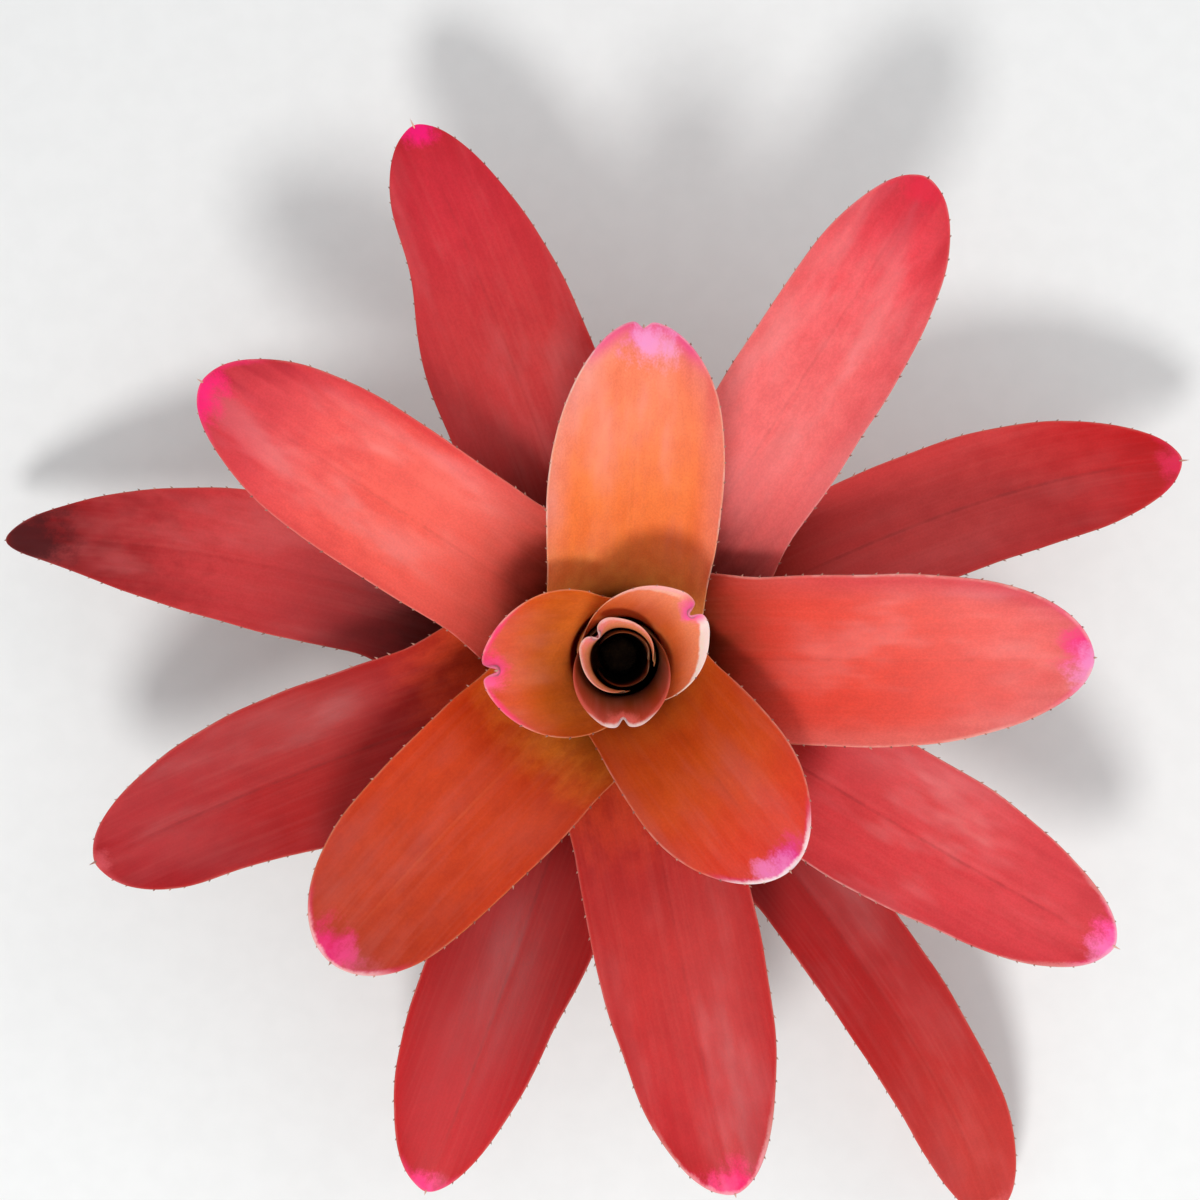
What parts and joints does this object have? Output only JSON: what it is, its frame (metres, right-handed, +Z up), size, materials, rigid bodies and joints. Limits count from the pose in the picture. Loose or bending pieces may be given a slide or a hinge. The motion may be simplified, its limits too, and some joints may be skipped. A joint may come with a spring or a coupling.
{
  "type": "bromeliad",
  "caption": "Tank bromeliad rosette: broad red and orange strap leaves on a golden-angle spiral round a central water tank, on a short cut stem.",
  "frame": {"origin": "centre of the cut face under the stem, which the plant stands on", "axes": "+Z up along the stem's axis; +X towards leaf_09 and leaf_01, +Y towards leaf_07"},
  "size_m": [0.4537, 0.423, 0.1615],
  "materials": {
    "leaf_orange": "waxy, half gloss, olive in the throat",
    "leaf_red": "waxy, half gloss, pink at the tip",
    "stem": "dry and fibrous"
  },
  "bodies": {
    "root": {"leaf_01": "leaf_orange", "leaf_02": "leaf_orange", "leaf_03": "leaf_orange", "leaf_04": "leaf_orange", "leaf_05": "leaf_orange", "leaf_06": "leaf_orange", "leaf_07": "leaf_orange", "leaf_08": "leaf_orange", "leaf_09": "leaf_red", "leaf_10": "leaf_red", "leaf_11": "leaf_red", "leaf_12": "leaf_red", "leaf_13": "leaf_red", "leaf_14": "leaf_red", "leaf_15": "leaf_red", "leaf_16": "leaf_red", "leaf_17": "leaf_red", "leaf_18": "leaf_red", "leaf_19": "leaf_red", "stem": "stem"}
  },
  "joints": []
}
